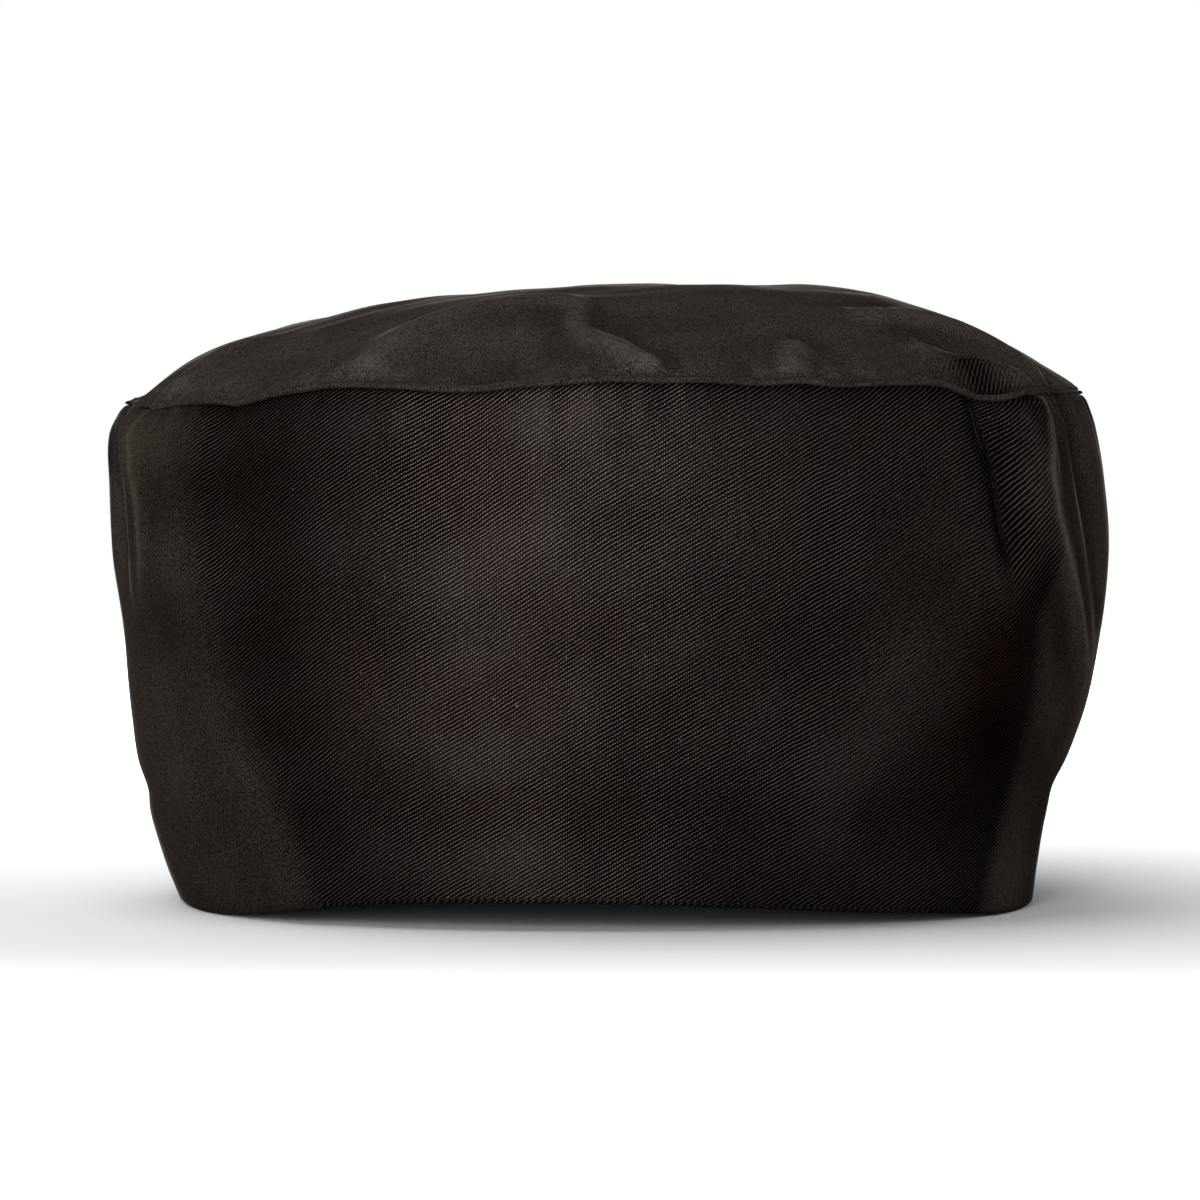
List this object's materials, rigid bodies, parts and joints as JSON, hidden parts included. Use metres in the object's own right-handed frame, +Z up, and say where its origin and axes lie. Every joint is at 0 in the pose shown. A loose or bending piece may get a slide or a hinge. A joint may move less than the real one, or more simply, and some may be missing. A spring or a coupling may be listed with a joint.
{
  "type": "chef skull cap",
  "caption": "Deep soft cap of dark twill with a puffed round top and an elasticated, gathered back hem, standing on its hem.",
  "frame": {"origin": "centre of the cap's outline in plan, on the surface the hem stands on", "axes": "+X to the right as the front is seen, +Y towards the gathered back, +Z up through the crown"},
  "size_m": [0.2089, 0.1887, 0.1284],
  "materials": {
    "side_band": "matte cotton twill, near black and slightly warm",
    "top_panel": "matte cotton twill, near black and slightly warm"
  },
  "bodies": {
    "root": {"side_band": "side_band", "top_panel": "top_panel"}
  },
  "joints": []
}
